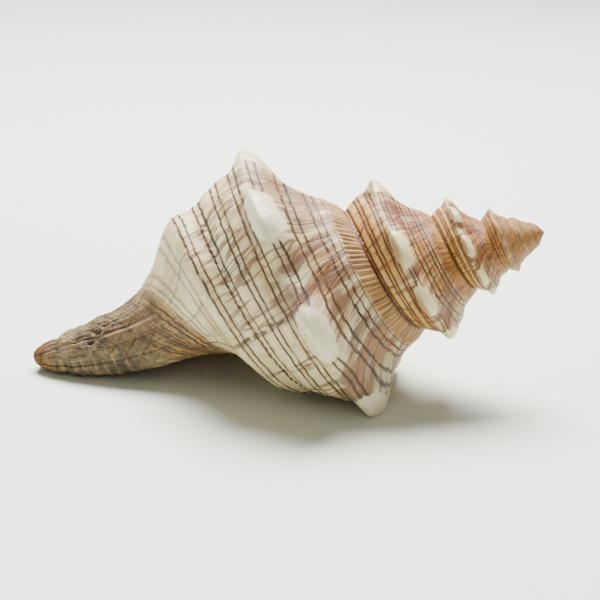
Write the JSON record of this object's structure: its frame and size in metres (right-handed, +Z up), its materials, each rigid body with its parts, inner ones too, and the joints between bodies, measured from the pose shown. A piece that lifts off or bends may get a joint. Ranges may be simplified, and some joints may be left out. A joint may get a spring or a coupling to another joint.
{
  "type": "horse conch shell",
  "caption": "Empty spiral sea shell with a knobbed spire, a wide open mouth and a long straight canal, lying mouth down on a table.",
  "frame": {"origin": "centre of the box's footprint, at the table it rests on", "axes": "+X towards the point of the spire, +Z up, the mouth facing down and its outer lip on the +Y side"},
  "size_m": [0.1238, 0.0726, 0.0554],
  "materials": {
    "shell": "satin"
  },
  "bodies": {
    "root": {"shell": "shell"}
  },
  "joints": []
}
